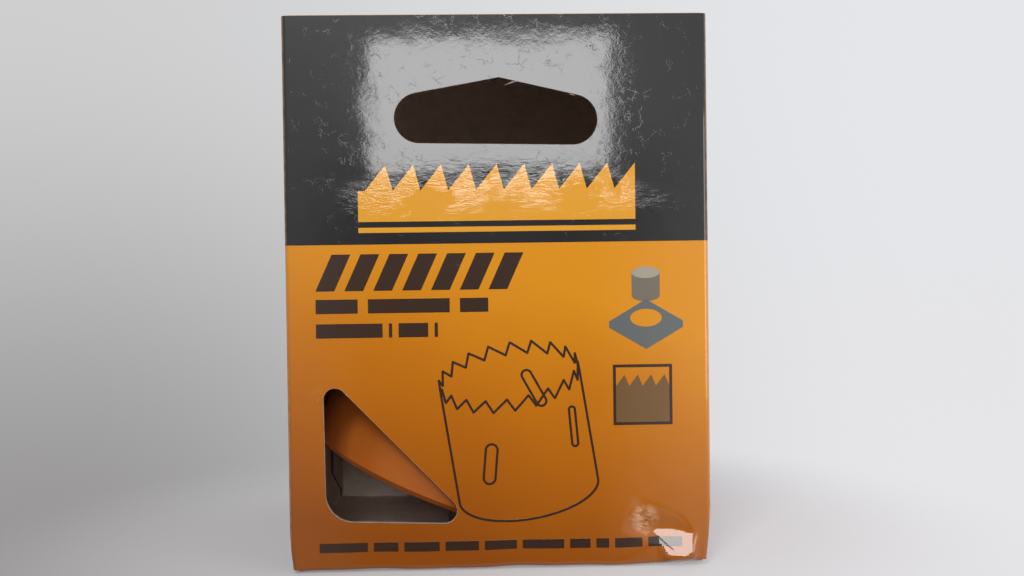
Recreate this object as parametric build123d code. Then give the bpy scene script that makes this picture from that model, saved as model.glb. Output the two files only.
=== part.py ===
from build123d import *
import os
from math import acos, asin, atan2, cos, degrees, radians, sin, sqrt

# A boxed hole saw: a printed hang carton with a window, and the toothed cup saw inside.
# The carton is one folded blank of board with a tuck lid at each end: the top lid hangs
# on the back panel and tucks behind the front one, the bottom lid the other way round.
# X runs to the right along the printed front, Y from the front to the back, Z up.
# The origin is the middle of the underside. All sizes are in millimetres.

# Carton, outside
WIDTH = 66.2
DEPTH = 53.0
HEIGHT = 87.0
BOARD = 0.5  # thickness of the board
FOLD = 0.8  # outer radius of a folded edge
GAP = 0.05  # hairline left between faces that move apart
EDGE_STEP = 0.4  # a panel's cut edge stands this far inside the lid's outer face
FRONT = -DEPTH / 2
BACK = DEPTH / 2
CREASE = FOLD - BOARD  # inner radius of a folded edge

# Lids
LID_WIDTH = WIDTH - 2 * FOLD - 0.2
TONGUE_WIDTH = LID_WIDTH - 3.0
TONGUE_LENGTH = 13.0
TONGUE_CORNER = 7.0
TONGUE_CLEAR = 0.08  # between the tongue and the panel that it slides behind

# Dust flaps, folded in from the side panels under each lid
FLAP_LENGTH = 23.0
FLAP_ROOT = DEPTH - 5.0
FLAP_SHOULDER = 4.0
FLAP_TAPER = 3.0
FLAP_CORNER = 5.0
FLAP_SHIFT = 0.6  # towards the hinge, clear of the tongue

# Glue flap, lapped inside the left panel from the back one
GLUE_WIDTH = 12.0
GLUE_TAPER = 6.0

# Hang hole: two round ends, a straight lower edge and a shallow roof, cut a little askew
HANG_WIDTH = 31.7
HANG_END = 3.95  # radius of each round end
HANG_LOW = 66.5
HANG_PEAK = 76.9
HANG_PEAK_SHIFT = 0.4  # of the roof's peak, to the right of the middle
HANG_TURN = -1.1  # in degrees
NOTCH_MARGIN = 1.4  # the top tongue is cut back this far round the hang hole

# Window: a triangle with round corners
WINDOW_FOOT = (-27.3, 8.0)
WINDOW_FOOT_RADIUS = 4.4
WINDOW_TIP = (-4.0, 7.2)
WINDOW_TIP_RADIUS = 2.0
WINDOW_TOP = (-27.5, 31.5)
WINDOW_TOP_RADIUS = 1.8

# Print on the front
INK = 0.04  # height that a field of print stands over the board
HEADER_LOW = 51.1
HEADER_WRAP = 0.4  # depth to which the header's print follows the folds at its sides
LINE = 0.36  # width of a drawn line

# Hole saw
SAW_DIAMETER = 48.0  # over the set teeth
SAW_HEIGHT = 45.0
BAND = 1.4  # thickness of the rolled band
TOOTH_SET = 0.25  # how far a set tooth leans out of the band
TOOTH_HEIGHT = 3.0
TOOTH_ROOT = 0.4  # depth to which a tooth is sunk in the band
TOOTH_PITCHES = (4.6, 5.0, 5.6, 6.2, 5.6, 5.0)  # one cycle of the uneven pitch
TOOTH_CYCLES = 5
GULLET_PLACE = 0.34  # lowest point of a gullet, as a share of the pitch
RAKE = 0.12  # lean of the tooth's face, as a share of its height
CAP_THICKNESS = 4.8
CAP_BEVEL = 0.8  # of the band's edge at the cap
ARBOR_RADIUS = 7.25  # core of the arbor thread
PIN_RADIUS = 3.25
PIN_CIRCLE = 14.0  # radius on which the drive pins' holes lie
PIN_COUNT = 4
SLOT_COUNT = 4
SLOT_WIDTH = 4.4
SLOT_LENGTH = 15.0
SLOT_LEAN = 20.0
SLOT_CENTRE = 18.0  # above the cap's face
SLOT_TURN = 24.0  # of the first slot from the front, in degrees
BODY_RADIUS = SAW_DIAMETER / 2 - TOOTH_SET

# The saw leans on the left panel, its cap's rim on the right bottom flap
SAW_LEAN = 22.5
SAW_SEAT = 0.05
SAW_BEHIND = 1.3  # room between the front panel and the band


def front_prism(sketch, near, far):
    """A sketch drawn in X and Z, as solid matter from depth Y=near to Y=far."""
    plane = Plane(origin=(0, far, 0), x_dir=(1, 0, 0), z_dir=(0, -1, 0))
    return extrude(plane * sketch, amount=far - near)


def across(sketch, width):
    """A section drawn in Y and Z, as solid matter of the width given, about X=0."""
    return extrude(Plane.YZ * sketch, amount=width / 2, both=True)


def turned_over(shape):
    """The same shape at the carton's other end: half a turn about the middle's X line."""
    return Pos(0, 0, HEIGHT) * Rot(180, 0, 0) * shape


def outline(*points):
    return make_face(Polyline(*points, close=True))


def sector(reach, start, end):
    """A pie slice from angle start to angle end, in degrees, wide of any radius used."""
    angles = [radians(start + (end - start) * share) for share in (0, 0.5, 1)]
    return outline((0, 0), *[(reach * cos(a), reach * sin(a)) for a in angles])


def fold_section(start, end):
    """Section of board bent round its crease, between two angles in degrees."""
    return (Circle(FOLD) - Circle(CREASE)) & sector(3 * FOLD, start, end)


# ---------------------------------------------------------------- carton

def hang_hole():
    """Outline of the hang hole, its roof tangent to the two round ends."""
    reach = HANG_WIDTH / 2 - HANG_END
    rise = HANG_PEAK - HANG_LOW - HANG_END
    touches = []
    for side in (1, -1):
        run = HANG_PEAK_SHIFT - side * reach
        # Angle, at the end's centre, of the point where the roof touches it.
        spread = acos(HANG_END / sqrt(run**2 + rise**2))
        angle = atan2(rise, run) - side * spread
        touches.append((side * reach + HANG_END * cos(angle), HANG_END * sin(angle)))
    middle = outline(
        (-reach, -HANG_END),
        (reach, -HANG_END),
        touches[0],
        (HANG_PEAK_SHIFT, rise),
        touches[1],
    )
    ends = [Pos(side * reach, 0) * Circle(HANG_END) for side in (-1, 1)]
    return Pos(0, HANG_LOW + HANG_END) * Rot(0, 0, HANG_TURN) * (middle + ends)


def window():
    """Outline of the window."""
    shape = outline(WINDOW_FOOT, WINDOW_TIP, WINDOW_TOP)
    corners = {
        WINDOW_FOOT: WINDOW_FOOT_RADIUS,
        WINDOW_TIP: WINDOW_TIP_RADIUS,
        WINDOW_TOP: WINDOW_TOP_RADIUS,
    }
    for corner, radius in corners.items():
        vertex = shape.vertices().sort_by_distance(corner)[0]
        shape = fillet(vertex, radius)
    return shape


def wall_ring():
    """The four panels of the sleeve, joined by round folds, with the lapped glue seam."""
    outer = RectangleRounded(WIDTH, DEPTH, FOLD)
    inner = RectangleRounded(WIDTH - 2 * BOARD, DEPTH - 2 * BOARD, CREASE)
    # At the seam the left panel ends in a cut edge, and the back one folds inside it.
    left = -WIDTH / 2
    fold_x = left + BOARD + FOLD
    fold_y = BACK - FOLD
    seam = Pos(left + FOLD, BACK - FOLD) * Rectangle(2 * FOLD, 2 * FOLD)
    side_end = Pos(left + BOARD / 2, fold_y - FOLD / 2) * Rectangle(BOARD, FOLD)
    back_end = Pos(fold_x + BOARD, BACK - BOARD / 2) * Rectangle(2 * BOARD, BOARD)
    lap = Pos(fold_x, fold_y) * fold_section(90, 180)
    under = Pos(left + 1.5 * BOARD, fold_y - FOLD / 2) * Rectangle(BOARD, FOLD)
    section = (outer - inner) - seam + side_end + back_end + lap + under
    length = HEIGHT - 2 * EDGE_STEP
    return Pos(0, 0, EDGE_STEP) * extrude(section, amount=length)


def glue_flap():
    """The flap under the left panel, with its two ends cut at a slant."""
    left = -WIDTH / 2 + BOARD
    near = BACK - FOLD - GLUE_WIDTH
    far = BACK - FOLD
    low = EDGE_STEP + FOLD + BOARD
    high = HEIGHT - low
    shape = outline(
        (far, low),
        (far, high),
        (near, high - GLUE_TAPER),
        (near, low + GLUE_TAPER),
    )
    return Pos(left, 0, 0) * extrude(Plane.YZ * shape, amount=BOARD)


def dust_flap():
    """The right dust flap of the top end: its bend and its plate, tapered to the tip."""
    top = HEIGHT - BOARD - GAP
    root = WIDTH / 2 - FOLD
    half = FLAP_ROOT / 2
    tip_half = half - FLAP_TAPER
    shoulder = root - FLAP_SHOULDER
    tip = root - FLAP_LENGTH
    plate = outline(
        (root, -half),
        (root, half),
        (shoulder, half),
        (shoulder - FLAP_TAPER, tip_half),
        (tip, tip_half - 1),
        (tip, 1 - tip_half),
        (shoulder - FLAP_TAPER, -tip_half),
        (shoulder, -half),
    )
    plate = fillet(plate.vertices().group_by(Axis.X)[0], FLAP_CORNER)
    plate = Pos(0, FLAP_SHIFT, top - BOARD) * extrude(plate, amount=BOARD)
    bend = extrude(Plane.XZ * fold_section(0, 90), amount=half, both=True)
    bend = Pos(root, FLAP_SHIFT, top - FOLD) * bend
    return plate + bend


def flap_notch():
    """What the right panel loses at the top end, where its dust flap bends away."""
    height = BOARD + GAP + FOLD
    centre = (WIDTH / 2 - FOLD / 2, FLAP_SHIFT, HEIGHT - height / 2)
    return Pos(*centre) * Box(FOLD + GAP, FLAP_ROOT, height)


def panel_bend():
    """The back panel's half of the top crease, cut on the slant that meets the lid."""
    section = Pos(BACK - FOLD, HEIGHT - FOLD) * fold_section(0, 45)
    hairline = Pos(BACK, HEIGHT) * Rot(0, 0, 45) * Rectangle(6 * FOLD, GAP)
    return across(section - hairline, LID_WIDTH)


def crease_notch():
    """What the back panel loses above the start of its bend."""
    return Pos(0, BACK - FOLD / 2, HEIGHT - FOLD / 2) * Box(LID_WIDTH + 2 * GAP, FOLD + GAP, FOLD)


def carton_sleeve():
    sleeve = wall_ring() + glue_flap()
    cuts = [flap_notch(), mirror(flap_notch(), Plane.YZ), crease_notch()]
    added = [dust_flap(), mirror(dust_flap(), Plane.YZ), panel_bend()]
    for shape in cuts:
        sleeve = sleeve - shape - turned_over(shape)
    for shape in added:
        sleeve = sleeve + shape + turned_over(shape)
    openings = hang_hole() + window()
    return sleeve - front_prism(openings, FRONT - 1, FRONT + 2 * BOARD)


def tongue_outline():
    """Front view of the tongue, a panel with two large round corners."""
    low = HEIGHT - TONGUE_LENGTH
    shape = Pos(0, (HEIGHT + low) / 2) * Rectangle(TONGUE_WIDTH, TONGUE_LENGTH)
    return fillet(shape.vertices().group_by(Axis.Y)[0], TONGUE_CORNER)


def lid(notched):
    """The top lid: half a crease, the panel, its front bend and the tongue behind it.

    The tongue lies on a circle about the hinge, so it slides out past the front panel
    without leaving its own track.
    """
    hinge = Pos(BACK, HEIGHT)
    reach = DEPTH - BOARD - TONGUE_CLEAR
    bend_z = HEIGHT - FOLD
    bend_y = BACK - sqrt((reach - FOLD) ** 2 - FOLD**2)
    droop = degrees(asin(FOLD / (reach - FOLD)))
    tip = degrees(asin(TONGUE_LENGTH / reach))
    crease = Pos(BACK - FOLD, bend_z) * fold_section(45, 90)
    crease = crease - hinge * Rot(0, 0, 45) * Rectangle(6 * FOLD, GAP)
    length = BACK - FOLD - bend_y
    panel = Pos(bend_y + length / 2, HEIGHT - BOARD / 2) * Rectangle(length, BOARD)
    bend = Pos(bend_y, bend_z) * fold_section(90, 180 + droop)
    plate = across(crease + panel + bend, LID_WIDTH)
    track = Circle(reach) - Circle(reach - BOARD)
    track = hinge * (track & sector(2 * reach, 180 + droop, 180 + tip))
    shape = tongue_outline()
    if notched:
        shape = shape - offset(hang_hole(), amount=NOTCH_MARGIN)
    tongue = across(track, LID_WIDTH) & front_prism(shape, FRONT, BACK)
    return plate + tongue


# ---------------------------------------------------------------- print

def ink(sketch):
    """A field of print on the front panel."""
    return front_prism(sketch, FRONT - INK, FRONT)


def stroke(points, width):
    """Straight bars from point to point, each run on a little so that its corners meet."""
    bars = []
    for start, end in zip(points, points[1:]):
        run = end[0] - start[0]
        rise = end[1] - start[1]
        middle = Pos((start[0] + end[0]) / 2, (start[1] + end[1]) / 2)
        turn = Rot(0, 0, degrees(atan2(rise, run)))
        bars.append(middle * turn * Rectangle(sqrt(run**2 + rise**2) + width / 2, width))
    return Sketch() + bars


def bar(left, right, low, high):
    """A plain upright rectangle, given by its four sides."""
    return Pos((left + right) / 2, (low + high) / 2) * Rectangle(right - left, high - low)


def header():
    """The dark header, which follows the round folds a little way to the sides."""
    outer = RectangleRounded(WIDTH + 2 * INK, DEPTH + 2 * INK, FOLD + INK)
    inner = RectangleRounded(WIDTH, DEPTH, FOLD)
    length = HEIGHT - EDGE_STEP - HEADER_LOW
    skin = Pos(0, 0, HEADER_LOW) * extrude(outer - inner, amount=length)
    front = Pos(0, FRONT - INK, HEADER_LOW + length / 2)
    skin = skin & front * Box(2 * WIDTH, 2 * (HEADER_WRAP + INK), length)
    return skin - front_prism(hang_hole(), FRONT - 1, FRONT + BOARD)


def header_motif():
    """A strip with saw teeth along its upper edge, over a thin line."""
    half = 21.6
    low = 54.6
    root = 59.4
    tip = 63.4
    slope = 0.75  # of a tooth's back, as a share of the pitch
    count = 10
    pitch = 2 * half / count
    points = [(-half, low), (half, low)]
    for step in range(count):
        right = half - step * pitch
        points += [(right, tip), (right - slope * pitch, root)]
    points.append((-half, root))
    underline = bar(-half, half, low - 1.7, low - 0.9)
    return outline(*points) + underline


def title_stripes():
    """A band of slanted stripes where a title would stand."""
    left = -28.4
    right = 4.0
    low = 43.9
    high = 49.6
    slant = 2.6
    stripe = 2.9
    count = 7
    pitch = (right - left - slant - stripe) / (count - 1)
    stripes = []
    for step in range(count):
        start = left + step * pitch
        stripes.append(
            outline(
                (start, low),
                (start + stripe, low),
                (start + stripe + slant, high),
                (start + slant, high),
            )
        )
    return Sketch() + stripes


def text_bars():
    """Rows of plain bars where smaller text would stand."""
    margin = -28.4
    # Each row's lower side, its height, the space between its bars and their lengths.
    rows = (
        (40.4, 2.2, 1.6, (6.5, 12.7, 4.4)),
        (36.6, 2.2, 1.0, (10.3, 0.5, 4.6, 0.5)),
        (3.0, 1.5, 0.94, (7.5, 3.8, 5.5, 5.2, 5.0, 6.5, 3.2, 2.0, 4.3, 5.3)),
    )
    bars = []
    for low, height, space, lengths in rows:
        left = margin
        for length in lengths:
            bars.append(bar(left, left + length, low, low + height))
            left += length + space
    return Sketch() + bars


def saw_drawing():
    """A line drawing of a toothed cup, seen a little from above its teeth."""
    wide = 11.0
    deep = 4.4
    tall = 17.2
    teeth = 20
    tooth = 1.9
    tooth_tip = 0.72  # along the pitch
    slot_length = 6.6
    centre = Pos(1.7, 29.2)
    turn = Rot(0, 0, 9.0)
    rim = []
    for step in range(teeth):
        root = radians(360 * step / teeth)
        tip = radians(360 * (step + tooth_tip) / teeth)
        rim += [(wide * cos(root), deep * sin(root)), (wide * cos(tip), deep * sin(tip) + tooth)]
    drawing = stroke([*rim, rim[0]], LINE)
    foot = EllipticalCenterArc((0, 0), wide, deep, start_angle=180, arc_size=180)
    drawing = drawing + trace(Pos(0, -tall) * foot, LINE)
    for side in (-wide, wide):
        drawing = drawing + stroke(((side, 0), (side, -tall)), LINE)
    # Each slot's centre, its width as it is seen and its lean to the left.
    slots = ((-5.2, -12.0, 2.2, -14.0), (8.6, -8.4, 1.3, -4.0), (3.5, -1.4, 1.9, 20.0))
    for x, z, width, lean in slots:
        inside = SlotOverall(slot_length - 2 * LINE, width - 2 * LINE)
        slot = SlotOverall(slot_length, width) - inside
        drawing = drawing + Pos(x, z) * Rot(0, 0, 90 + lean) * slot
    return centre * turn * drawing


def use_picture():
    """A slab seen from above one corner, with a round hole and the plug lifted from it."""
    centre = 23.1
    half = 5.8
    rise = 3.4  # from the slab's side corners to its near and far ones
    middle = 38.6
    thick = 1.0
    plug_half = 2.2
    plug_low = 42.6
    plug_high = 46.2
    left = (centre - half, middle)
    right = (centre + half, middle)
    near = (centre, middle - rise)
    far = (centre, middle + rise)
    hole = Pos(centre, middle + 0.5) * Ellipse(2.5, 1.4)
    slab = outline(left, near, right, far) - hole
    edge = outline(
        left,
        near,
        right,
        (right[0], middle - thick),
        (centre, near[1] - thick),
        (left[0], middle - thick),
    )
    round_end = Ellipse(plug_half, 0.9)
    plug_side = bar(centre - plug_half, centre + plug_half, plug_low, plug_high)
    plug_side = plug_side + Pos(centre, plug_low) * round_end
    plug_top = Pos(centre, plug_high) * round_end
    return slab + edge, plug_side - plug_top, plug_top


def edge_picture():
    """A framed square with a row of teeth across it."""
    left = 17.8
    right = 27.1
    low = 22.3
    high = 31.8
    rim = 0.45
    root = high - 3.4
    tip = high - 1.6
    steep = 0.35  # width of a tooth's face, as a share of the pitch
    frame = bar(left, right, low, high) - bar(left + rim, right - rim, low + rim, high - rim)
    count = 4
    pitch = (right - left - 2 * rim) / count
    points = [(left + rim, low + rim), (right - rim, low + rim)]
    for step in range(count):
        start = right - rim - step * pitch
        points += [(start, root), (start - steep * pitch, tip)]
    points.append((left + rim, root))
    return frame, outline(*points)


# ---------------------------------------------------------------- hole saw

def tooth_outline(before, after):
    """One tooth, unrolled: its back rises from the gullet before, its face drops to the next."""
    start = -(1 - GULLET_PLACE) * before
    end = GULLET_PLACE * after
    tip = (0, TOOTH_HEIGHT)
    heel = (0.22 * start, 0.62 * TOOTH_HEIGHT)
    foot = (-RAKE * TOOTH_HEIGHT, 0.36 * TOOTH_HEIGHT)
    back = ThreePointArc((start, 0), (0.62 * start, 0.14 * TOOTH_HEIGHT), heel)
    gullet = ThreePointArc(foot, (0.24 * end, 0.07 * TOOTH_HEIGHT), (end, 0))
    below = Polyline((end, 0), (end, -TOOTH_ROOT), (start, -TOOTH_ROOT), (start, 0))
    return make_face(back + Line(heel, tip) + Line(tip, foot) + gullet + below)


def tooth_ring(lean):
    """The ring that teeth of one set are cut from, its wall leaning by the distance given."""
    low = SAW_HEIGHT - TOOTH_HEIGHT
    outer = BODY_RADIUS
    inner = BODY_RADIUS - BAND
    sunk = low - TOOTH_ROOT
    section = outline(
        (inner, sunk),
        (outer, sunk),
        (outer, low),
        (outer + lean, SAW_HEIGHT),
        (inner + lean, SAW_HEIGHT),
        (inner, low),
    )
    return revolve(Plane.XZ * section, Axis.Z)


def saw_teeth():
    """All teeth: the uneven pitch runs round the rim, the set goes out, in and straight."""
    pitches = TOOTH_PITCHES * TOOTH_CYCLES
    per_millimetre = 360 / sum(pitches)
    groups = {TOOTH_SET: [], -TOOTH_SET: [], 0.0: []}
    order = (TOOTH_SET, -TOOTH_SET, 0.0)
    along = 0.0
    for index, pitch in enumerate(pitches):
        face = Plane.XZ * tooth_outline(pitches[index - 1], pitch)
        blank = extrude(Pos(0, -BODY_RADIUS + 3 * BAND, 0) * face, amount=5 * BAND)
        blank = Rot(0, 0, along * per_millimetre) * Pos(0, 0, SAW_HEIGHT - TOOTH_HEIGHT) * blank
        groups[order[index % 3]].append(blank)
        along += pitch
    teeth = []
    for lean, blanks in groups.items():
        ring = tooth_ring(lean)
        teeth += [ring & blank for blank in blanks]
    return teeth


def side_slot():
    """One slanted slot, for levering out the cut plug, at the front of the band."""
    face = Rot(0, 0, 90 - SLOT_LEAN) * SlotOverall(SLOT_LENGTH, SLOT_WIDTH)
    return Pos(0, -BODY_RADIUS + 3 * BAND, SLOT_CENTRE) * extrude(Plane.XZ * face, amount=5 * BAND)


def saw_cup():
    """The rolled band with its slots and teeth, standing on its smooth end."""
    height = SAW_HEIGHT - TOOTH_HEIGHT
    band = Cylinder(BODY_RADIUS, height, align=(Align.CENTER, Align.CENTER, Align.MIN))
    band = chamfer(band.edges().group_by(Axis.Z)[0], CAP_BEVEL)
    band -= Cylinder(BODY_RADIUS - BAND, height, align=(Align.CENTER, Align.CENTER, Align.MIN))
    slots = [Rot(0, 0, SLOT_TURN + 360 * n / SLOT_COUNT) * side_slot() for n in range(SLOT_COUNT)]
    return (band - slots) + saw_teeth()


def saw_cap():
    """The back plate inside the band's end, with the arbor's hole and those of its pins."""
    align = (Align.CENTER, Align.CENTER, Align.MIN)
    plate = Cylinder(BODY_RADIUS - BAND, CAP_THICKNESS, align=align)
    plate -= Cylinder(ARBOR_RADIUS, CAP_THICKNESS, align=align)
    pins = PolarLocations(PIN_CIRCLE, PIN_COUNT) * Cylinder(PIN_RADIUS, CAP_THICKNESS, align=align)
    return plate - pins


def in_carton(shape):
    """Lays the saw aslant: left rim on the left panel, right rim on the bottom flap."""
    lean = radians(SAW_LEAN)
    left = -WIDTH / 2 + BOARD + SAW_SEAT
    floor = 2 * BOARD + GAP + SAW_SEAT
    # On the left the bevel's upper corner touches, on the right its lower one.
    x = left + BODY_RADIUS * cos(lean) - CAP_BEVEL * sin(lean)
    z = floor + (BODY_RADIUS - CAP_BEVEL) * sin(lean)
    y = FRONT + BOARD + SAW_BEHIND + SAW_DIAMETER / 2
    return Pos(x, y, z) * Rot(0, SAW_LEAN, 0) * shape


def seam_relief():
    """A column round the lapped corner, which the lids are cut back from."""
    corner = Pos(-WIDTH / 2 + FOLD / 2, BACK - FOLD, HEIGHT / 2)
    return corner * Box(FOLD + 2 * BOARD + 2 * GAP, 2 * (FOLD + GAP), 2 * HEIGHT)


def main():
    slab, plug_side, plug_top = use_picture()
    frame, teeth = edge_picture()
    nodes = {
        "carton_sleeve": carton_sleeve(),
        "top_lid": lid(notched=True) - seam_relief(),
        "bottom_lid": turned_over(lid(notched=False)) - seam_relief(),
        "print_header": header(),
        "print_motif": Pos(0, -INK, 0) * ink(header_motif()),
        "print_title": ink(title_stripes()),
        "print_text": ink(text_bars()),
        "print_saw_drawing": ink(saw_drawing()),
        "print_slab": ink(slab),
        "print_plug_side": ink(plug_side),
        "print_plug_top": ink(plug_top),
        "print_frame": ink(frame),
        "print_teeth": ink(teeth),
        "saw_cup": in_carton(saw_cup()),
        "saw_cap": in_carton(saw_cap()),
    }
    os.makedirs("parts", exist_ok=True)
    for name, shape in nodes.items():
        export_step(shape, f"parts/{name}.step")


main()
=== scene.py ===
from math import pi, radians

import bmesh
import bpy
import numpy as np
from mathutils import Matrix, Vector
from mathutils.bvhtree import BVHTree

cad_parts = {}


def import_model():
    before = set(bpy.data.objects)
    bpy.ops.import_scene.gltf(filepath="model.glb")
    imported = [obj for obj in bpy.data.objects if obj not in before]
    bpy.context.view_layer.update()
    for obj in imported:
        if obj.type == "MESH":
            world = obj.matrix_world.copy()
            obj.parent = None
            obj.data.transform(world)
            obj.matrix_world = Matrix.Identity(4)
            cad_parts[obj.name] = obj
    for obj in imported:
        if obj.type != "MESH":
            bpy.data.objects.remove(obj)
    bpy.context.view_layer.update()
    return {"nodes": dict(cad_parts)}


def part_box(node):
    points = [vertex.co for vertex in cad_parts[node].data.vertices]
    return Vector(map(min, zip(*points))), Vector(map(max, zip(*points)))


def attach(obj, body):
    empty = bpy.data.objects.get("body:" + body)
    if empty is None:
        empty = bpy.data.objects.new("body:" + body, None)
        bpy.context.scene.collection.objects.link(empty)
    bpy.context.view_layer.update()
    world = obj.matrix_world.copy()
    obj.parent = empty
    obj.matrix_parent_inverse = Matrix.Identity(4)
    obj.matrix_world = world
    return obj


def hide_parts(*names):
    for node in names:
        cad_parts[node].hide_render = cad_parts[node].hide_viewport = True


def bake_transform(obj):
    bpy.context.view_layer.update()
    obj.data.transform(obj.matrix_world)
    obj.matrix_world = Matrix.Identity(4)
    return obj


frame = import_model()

# A boxed hole saw: printed folding board, laminated with clear film, round an enamelled saw.
# Everything is in metres, in the carton's own frame: X to the right along the printed front,
# Y from the front to the back, Z up, with the origin in the middle of the underside.

MM = 0.001

# Board and folds, as the carton is made
BOARD = 0.5 * MM
FOLD = 0.8 * MM  # outer radius of a fold
CREASE = FOLD - BOARD  # inner radius of a fold
INK = 0.04 * MM  # height of a field of print over the board
SAME = 1e-6  # metres within which two places count as one
SLEEVE_HIGH = Vector(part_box("carton_sleeve")[1])
LID_HIGH = Vector(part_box("top_lid")[1])
HALF_WIDTH = SLEEVE_HIGH.x
HALF_DEPTH = SLEEVE_HIGH.y
HEIGHT = LID_HIGH.z
FRONT = -HALF_DEPTH
LID_HALF = LID_HIGH.x
WELL_INSIDE = HALF_WIDTH - 2 * MM  # clear of the side folds

# Saw, as it lies: the middle of its cap's outer face, in millimetres, and its axis
SAW_FOOT = (-10.91, -0.7, 9.88)
SAW_AXIS = (0.3827, 0.0, 0.9239)
SAW_HEIGHT = 45.0
BORE_RADIUS = 7.25
THREAD_PITCH = 1.41

# Crushed corner, low on the right of the front: a dent of flat planes. Each has a place in
# X and Z, its depth there, and the depth that it gains for a millimetre right and for one up.
DENT_FACET = (23.1, 6.0, 0.9, -0.10, 0.272)
DENT_SIDES = {
    "roof": (23.1, 6.0, 0.9, -0.10, -0.24),
    "brow": (27.8, 6.1, 0.46, -0.30, -0.18),
    "shoulder": (23.1, 6.0, 0.9, 0.26, -0.10),
    "wall": (23.1, 6.0, 0.9, 0.19, 0.47),
}
DENT_BULGE = 0.95 * MM  # how far the facet's low end stands out of the front
DENT_LEFT = (24.6 * MM, 26.8 * MM)  # between these it comes to stand out
DENT_BLEND = 0.30 * MM  # how far its planes are rounded over where they meet
DENT_DEEPEST = 3 * MM  # its sides count no deeper than this
DENT_RIGHT = (30.1 * MM, 31.7 * MM)  # between these it ends, short of the right fold
DENT_FOOT = (0, 1.3 * MM)  # between these it ends above the low fold

# The rest of the handling. A pair is where a bend starts and where it is over.
FRONT_BEND = (FRONT + 1.5 * BOARD, FRONT + 12 * BOARD)
FOLD_BEND = (FRONT + 1.5 * BOARD, FRONT + 8 * BOARD)
LOW_BEND = (0, 12 * MM)
CORNER_REACH = 9.0 * MM
CORNER_PUSH = 0.75 * MM
CORNER_RISE = 0.25 * MM
CORNER_EDGE = (HALF_WIDTH - 6 * MM, HALF_WIDTH)
CORNER_TIP = (LID_HALF - 0.5 * MM, HALF_WIDTH)
FOLD_RISE = 0.17 * MM
FOLD_WAVES = ((0.10 * MM, 4.1 * MM, 0.6), (0.06 * MM, 1.7 * MM, 0.0))  # height, run, phase
BOW = 0.05 * MM
LEFT_PUSH = 0.5 * MM
LEFT_EDGE = (HALF_WIDTH - 5 * MM, HALF_WIDTH)
LEFT_FOOT = (0, 5 * MM)

# Spacing of the cuts that let the board bend
COARSE_GRID = 3 * MM
FINE_GRID = 0.38 * MM
DEPTH_GRID = 1.7 * MM

# Tones of the ground print by height in millimetres, from the foot to the header. A place counts as
# higher by a share of how far right it is, and a cloud shifts it up and down. The darkening towards
# the foot is partly the print's own gradient and partly painted shade where less light falls low on
# the front. The lightening to the right is painted light from the upper right.
PRINT_AND_SHADE_TONES = (
    (0.0, "#8f4a0c"), (8.0, "#9e540a"), (20.0, "#b2640a"), (31.0, "#c37409"), (46.0, "#d88d12"),
)
PAINTED_LIGHT_SHARE_RIGHT = 0.28
TONE_CLOUD = 10.0

# Relief of the film: the sizes of its patterns and the middle of the crinkled band, in
# millimetres
PEEL_SIZE = 0.9
SWELL_SIZE = 6.0
RIDGE_SIZE = 1.1
CELL_SIZE = 2.1
BAND_MIDDLE = 60.0

# Where the film is most crinkled, in millimetres: at the dent's tip, and where a thumb pressed
CRUMPLE_PLACE = (22.4, -26.0, 7.5)
CRUMPLE_REACH = 2.8
THUMB_PLACE = (-28.0, -26.5, 27.6)
THUMB_REACH = 1.6

# Where film and print have split in the dent, in millimetres. The line is painted dark there:
# painted shade in the crease.
SPLIT_START = Vector((24.0, -26.5, 5.05))
SPLIT_END = Vector((27.0, -26.5, 2.5))
SPLIT_STRAY = 0.5

# Torn fibres at the cut edges, from end to end in X and Z, in millimetres
FIBRES = (
    ((1.3, 75.6), (3.6, 76.3)),
    ((1.7, 75.7), (2.9, 76.25)),
    ((11.4, 74.2), (12.4, 73.9)),
    ((-12.9, 65.9), (-12.6, 65.0)),
    ((-24.1, 27.9), (-23.6, 27.5)),
)
FIBRE_RADIUS = 0.05 * MM

# Lip that the cutting die has left round the openings. It is pale and wider on their low sides,
# partly as a painted highlight of the light that falls on the up-facing cut edges.
LIP_WIDTH = 0.05 * MM
LIP_WAVER = 0.25

# Table, in metres: its half width, and its surface a hair below the carton, where it hides
# neither the carton's foot nor most of the bottom lid's print when that lid is open
TABLE_REACH = 0.25
TABLE_TOP = -0.12 * MM

# Camera: its angles are in degrees, and its focal length is in pixels of the image's width
CAMERA_PLACE = Vector((-2.2 * MM, FRONT - 158.0 * MM, 46.54 * MM))
CAMERA_YAW = -1.576
CAMERA_PITCH = -0.906
CAMERA_ROLL = 0.781
FOCAL_PIXELS = 1012.7
IMAGE_WIDTH = 1024
SENSOR = 36.0


# ------------------------------------------------------------------ small tools

def colour(code):
    """A linear colour from an sRGB hex code such as "#e2a032"."""
    values = [int(code[i:i + 2], 16) / 255 for i in (1, 3, 5)]
    linear = [v / 12.92 if v <= 0.04045 else ((v + 0.055) / 1.055) ** 2.4 for v in values]
    return (*linear, 1.0)


def add(tree, kind, inputs=None, out=0, **settings):
    """Adds a shader node and gives one of its outputs, or a list where out is a tuple.

    Settings go on the node. Inputs are values, or the outputs that feed them.
    """
    made = tree.nodes.new("ShaderNode" + kind)
    for name, value in settings.items():
        setattr(made, name, value)
    for name, value in (inputs or {}).items():
        if isinstance(value, bpy.types.NodeSocket):
            tree.links.new(value, made.inputs[name])
        else:
            made.inputs[name].default_value = value
    if isinstance(out, tuple):
        return [made.outputs[name] for name in out]
    return made.outputs[out]


def new_material(name):
    """An empty node material, as (material, its tree, each point's place).

    The place is in millimetres, so that a pattern's scale is one over its real size.
    """
    material = bpy.data.materials.new(name)
    material.use_nodes = True
    tree = material.node_tree
    tree.nodes.clear()
    place = add(tree, "TexCoord", out="Object")
    place = add(tree, "VectorMath", {0: place, 1: (1000, 1000, 1000)}, operation="MULTIPLY")
    return material, tree, place


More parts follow.
